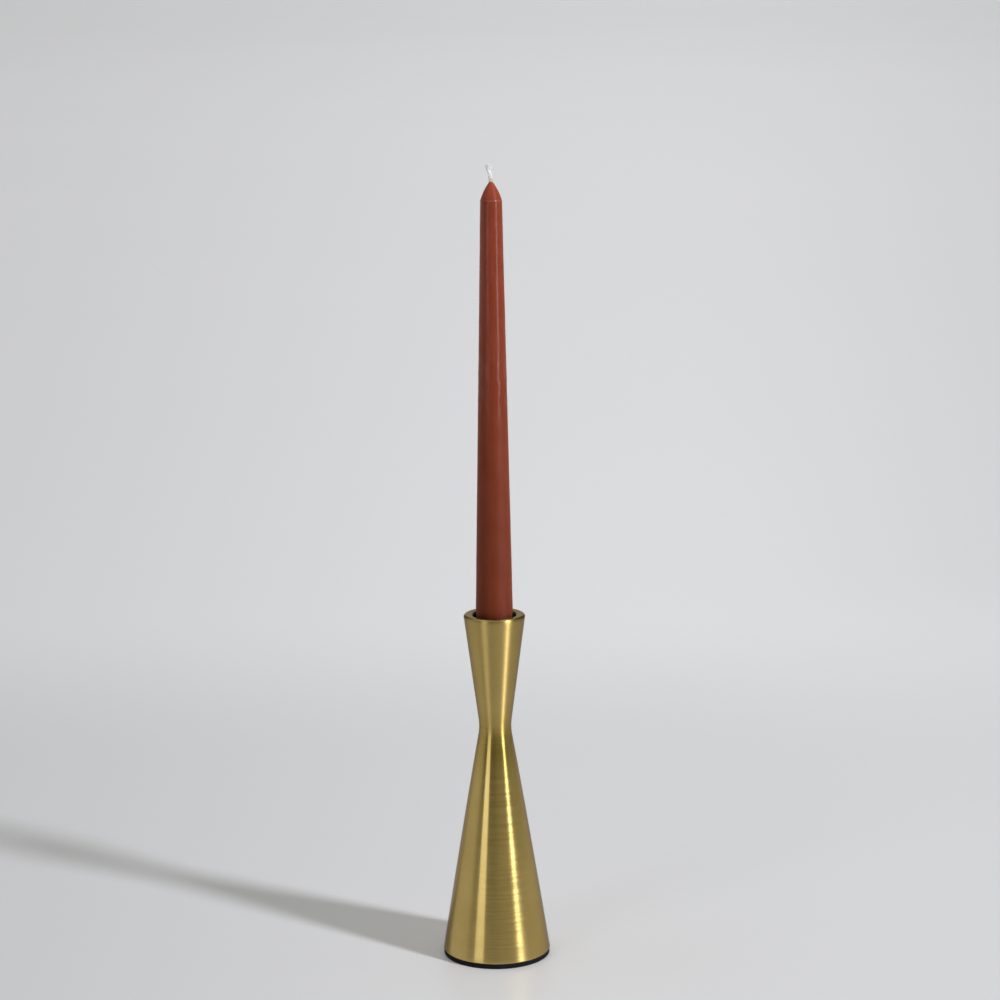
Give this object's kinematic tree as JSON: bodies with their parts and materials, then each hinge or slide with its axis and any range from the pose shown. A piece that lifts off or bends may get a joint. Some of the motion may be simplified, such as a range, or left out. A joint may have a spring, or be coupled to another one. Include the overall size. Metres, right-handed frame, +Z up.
{
  "type": "candlestick",
  "caption": "Hourglass candlestick of turned brass with a rolled lip and a weighted foot on a dark pad, holding a tapered dinner candle that lifts out of its socket.",
  "frame": {"origin": "centre of the foot, on the surface that the candlestick stands on", "axes": "+Z up along the candle, +X to the right and +Y away as the picture shows it"},
  "size_m": [0.06, 0.06, 0.4439],
  "materials": {
    "turned_brass": "fine turned lines, satin, clear lacquer",
    "pad_rubber": "matte",
    "plated_steel": "zinc plated",
    "ballast_iron": "as cast",
    "candle_wax": "satin wax, dyed through",
    "wick_cotton": "braided, unburnt"
  },
  "bodies": {
    "holder": {"foot_pad": "pad_rubber", "lower_cone": "turned_brass", "upper_cone": "turned_brass", "tie_rod": "plated_steel", "ballast": "ballast_iron", "flat_washer": "plated_steel", "hex_nut": "plated_steel"},
    "candle": {"candle": "candle_wax", "wick": "wick_cotton"}
  },
  "joints": [
    {"name": "candle_lift", "type": "slide", "parent": "holder", "child": "candle", "axis": [0, 0, 1], "range_m": [0, 0.08]}
  ]
}
